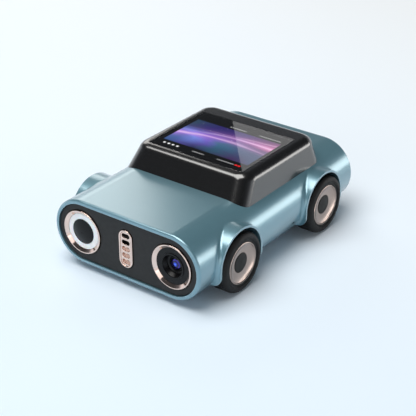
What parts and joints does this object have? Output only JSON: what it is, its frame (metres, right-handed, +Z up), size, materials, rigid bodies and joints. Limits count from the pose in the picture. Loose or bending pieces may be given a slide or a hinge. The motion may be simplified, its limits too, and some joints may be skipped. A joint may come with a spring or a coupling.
{
  "type": "robot car",
  "caption": "Wheeled desk robot car: rounded metal body tube, gloss cabin with a screen in its roof, lamp and camera in front, geared drive to the rear wheels.",
  "frame": {"origin": "on the ground, under the middle of the car", "axes": "the front of the car faces -Y, +Z is up, +X is the side of the camera"},
  "size_m": [0.1006, 0.1406, 0.0508],
  "materials": {
    "shell_paint": "satin metallic steel blue",
    "panel_black": "matt",
    "cabin_gloss": "gloss",
    "screen_glass": "polished dark glass",
    "display": "lit display",
    "rose_metal": "polished rose-gold anodised",
    "diffuser_white": "frosted white",
    "lens_black": "gloss",
    "camera_black": "satin",
    "lens_coated": "blue-violet coating",
    "tyre_rubber": "satin",
    "cap_black": "matt",
    "steel": "turned",
    "brass": "machined",
    "acetal": "moulded",
    "circuit": "solder mask",
    "battery_wrap": "shrink wrap"
  },
  "bodies": {
    "chassis": {"body_shell": "shell_paint", "bottom_cover": "panel_black", "bottom_screws": "steel", "front_panel": "panel_black", "rear_panel": "panel_black", "cabin_shell": "cabin_gloss", "cabin_screws": "steel", "screen_glass": "screen_glass", "display_panel": "display", "mainboard": "circuit", "board_posts": "brass", "board_screws": "steel", "battery_pack": "battery_wrap", "speaker": "camera_black", "usb_socket": "steel", "power_switch": "camera_black", "lamp_bezel": "rose_metal", "lamp_diffuser": "diffuser_white", "lamp_lens": "lens_black", "lamp_board": "circuit", "camera_bezel": "rose_metal", "camera_plate": "camera_black", "camera_barrel": "camera_black", "camera_lens": "lens_coated", "camera_board": "circuit", "grille_bezel": "rose_metal", "mic_board": "circuit", "front_bearing_right": "acetal", "gear_frame_right": "acetal", "idler_pin_right": "steel", "drive_motor_right": "steel", "front_bearing_left": "acetal", "gear_frame_left": "acetal", "idler_pin_left": "steel", "drive_motor_left": "steel"},
    "wheel_front_right": {"tyre_front_right": "tyre_rubber", "rim_front_right": "rose_metal", "hub_cap_front_right": "cap_black", "front_axle_right": "steel", "front_axle_clip_right": "steel"},
    "wheel_rear_right": {"tyre_rear_right": "tyre_rubber", "rim_rear_right": "rose_metal", "hub_cap_rear_right": "cap_black", "rear_axle_right": "steel", "axle_gear_right": "brass"},
    "idler_right": {"idler_gear_right": "brass"},
    "motor_rotor_right": {"motor_pinion_right": "brass"},
    "wheel_front_left": {"tyre_front_left": "tyre_rubber", "rim_front_left": "rose_metal", "hub_cap_front_left": "cap_black", "front_axle_left": "steel", "front_axle_clip_left": "steel"},
    "wheel_rear_left": {"tyre_rear_left": "tyre_rubber", "rim_rear_left": "rose_metal", "hub_cap_rear_left": "cap_black", "rear_axle_left": "steel", "axle_gear_left": "brass"},
    "idler_left": {"idler_gear_left": "brass"},
    "motor_rotor_left": {"motor_pinion_left": "brass"},
    "button": {"power_button": "camera_black"}
  },
  "joints": [
    {"name": "wheel_front_right_spin", "type": "hinge", "parent": "chassis", "child": "wheel_front_right", "pos_m": [0, -0.0386, 0.0161], "axis": [1, 0, 0], "continuous": true},
    {"name": "wheel_rear_right_spin", "type": "hinge", "parent": "chassis", "child": "wheel_rear_right", "pos_m": [0, 0.0386, 0.0161], "axis": [1, 0, 0], "continuous": true},
    {"name": "idler_right_spin", "type": "hinge", "parent": "chassis", "child": "idler_right", "pos_m": [0, 0.0326, 0.0241], "axis": [1, 0, 0], "continuous": true},
    {"name": "motor_right_spin", "type": "hinge", "parent": "chassis", "child": "motor_rotor_right", "pos_m": [0, 0.0246, 0.0181], "axis": [1, 0, 0], "continuous": true},
    {"name": "wheel_front_left_spin", "type": "hinge", "parent": "chassis", "child": "wheel_front_left", "pos_m": [0, -0.0386, 0.0161], "axis": [1, 0, 0], "continuous": true},
    {"name": "wheel_rear_left_spin", "type": "hinge", "parent": "chassis", "child": "wheel_rear_left", "pos_m": [0, 0.0386, 0.0161], "axis": [1, 0, 0], "continuous": true},
    {"name": "idler_left_spin", "type": "hinge", "parent": "chassis", "child": "idler_left", "pos_m": [0, 0.0326, 0.0241], "axis": [1, 0, 0], "continuous": true},
    {"name": "motor_left_spin", "type": "hinge", "parent": "chassis", "child": "motor_rotor_left", "pos_m": [0, 0.0246, 0.0181], "axis": [1, 0, 0], "continuous": true},
    {"name": "power_button_press", "type": "slide", "parent": "chassis", "child": "button", "axis": [0, -1, 0], "range_m": [0, 0.0008], "stiffness_N_per_m": 400, "springref_m": -0.0004}
  ],
  "couplings": [
    {"joint": "idler_right_spin", "follows": "wheel_rear_right_spin", "ratio": -3},
    {"joint": "motor_right_spin", "follows": "wheel_rear_right_spin", "ratio": 9},
    {"joint": "idler_left_spin", "follows": "wheel_rear_left_spin", "ratio": -3},
    {"joint": "motor_left_spin", "follows": "wheel_rear_left_spin", "ratio": 9}
  ]
}
